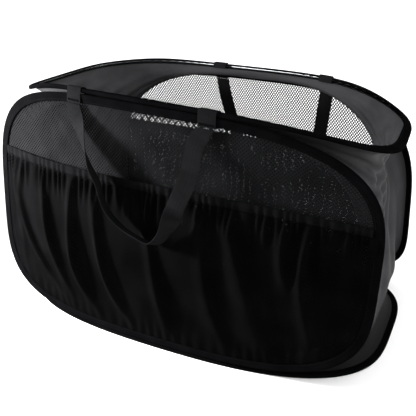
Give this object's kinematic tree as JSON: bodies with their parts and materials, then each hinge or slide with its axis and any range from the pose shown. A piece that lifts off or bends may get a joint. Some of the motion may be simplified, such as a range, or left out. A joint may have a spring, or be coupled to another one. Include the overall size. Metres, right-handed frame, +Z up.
{
  "type": "pop-up laundry hamper",
  "caption": "Wide pop-up laundry hamper: sprung wire rings in folded tape, mesh sides with gathered pockets, fabric ends and two webbing handles; folds flat.",
  "frame": {"origin": "on the floor under the middle of the hamper", "axes": "+X along the hamper to the right as seen from the front, +Y from the front panel to the back panel, +Z up"},
  "size_m": [0.614, 0.4852, 0.3615],
  "materials": {
    "binding_tape": "woven polyester tape, folded and stitched, matt black",
    "panel_mesh": "fine knitted net with small diamond holes, black",
    "pocket_mesh": "fine knitted net with small diamond holes, gathered, black",
    "end_fabric": "plain woven polyester, slightly wrinkled, charcoal black",
    "elastic": "ribbed elastic in a sewn casing, black",
    "webbing": "ribbed polypropylene webbing, black",
    "spring_wire": "drawn spring steel",
    "crimp_sleeve": "zinc plated, crimped"
  },
  "bodies": {
    "base": {"base_ring_binding": "binding_tape", "base_ring_wire": "spring_wire", "base_ring_sleeve": "crimp_sleeve", "bottom_panel": "end_fabric", "left_end_panel": "end_fabric", "right_end_panel": "end_fabric"},
    "front": {"front_ring_binding": "binding_tape", "front_ring_wire": "spring_wire", "front_ring_sleeve": "crimp_sleeve", "front_mesh_panel": "panel_mesh", "front_pocket": "pocket_mesh", "front_pocket_band": "elastic", "front_pocket_elastic": "elastic", "front_left_handle_anchor": "webbing", "front_right_handle_anchor": "webbing"},
    "back": {"back_ring_binding": "binding_tape", "back_ring_wire": "spring_wire", "back_ring_sleeve": "crimp_sleeve", "back_mesh_panel": "panel_mesh", "back_pocket": "pocket_mesh", "back_pocket_band": "elastic", "back_pocket_elastic": "elastic", "back_left_handle_anchor": "webbing", "back_right_handle_anchor": "webbing"},
    "top": {"top_ring_binding": "binding_tape", "top_ring_wire": "spring_wire", "top_ring_sleeve": "crimp_sleeve", "front_left_handle_wrap": "webbing", "front_right_handle_wrap": "webbing", "back_left_handle_wrap": "webbing", "back_right_handle_wrap": "webbing"},
    "front_handle": {"front_handle_loop": "webbing"},
    "back_handle": {"back_handle_loop": "webbing"}
  },
  "joints": [
    {"name": "fold", "type": "hinge", "parent": "base", "child": "front", "pos_m": [0, -0.194, 0.0063], "axis": [-1, 0, 0], "range_deg": [0, 88], "stiffness_Nm_per_rad": 6, "deforming": ["left_end_panel", "right_end_panel"]},
    {"name": "back_fold", "type": "hinge", "parent": "base", "child": "back", "pos_m": [0, 0.2, 0.0063], "axis": [-1, 0, 0], "range_deg": [0, 88]},
    {"name": "top_fold", "type": "hinge", "parent": "front", "child": "top", "pos_m": [0, -0.2, 0.3537], "axis": [-1, 0, 0], "range_deg": [-88, 0]},
    {"name": "front_handle_swing", "type": "hinge", "parent": "front", "child": "front_handle", "pos_m": [0, -0.2024, 0.33805], "axis": [-1, 0, 0], "range_deg": [0, 140]},
    {"name": "back_handle_swing", "type": "hinge", "parent": "back", "child": "back_handle", "pos_m": [0, 0.2024, 0.33805], "axis": [1, 0, 0], "range_deg": [0, 140]}
  ],
  "couplings": [
    {"joint": "back_fold", "follows": "fold", "ratio": 1},
    {"joint": "top_fold", "follows": "fold", "ratio": -1}
  ]
}
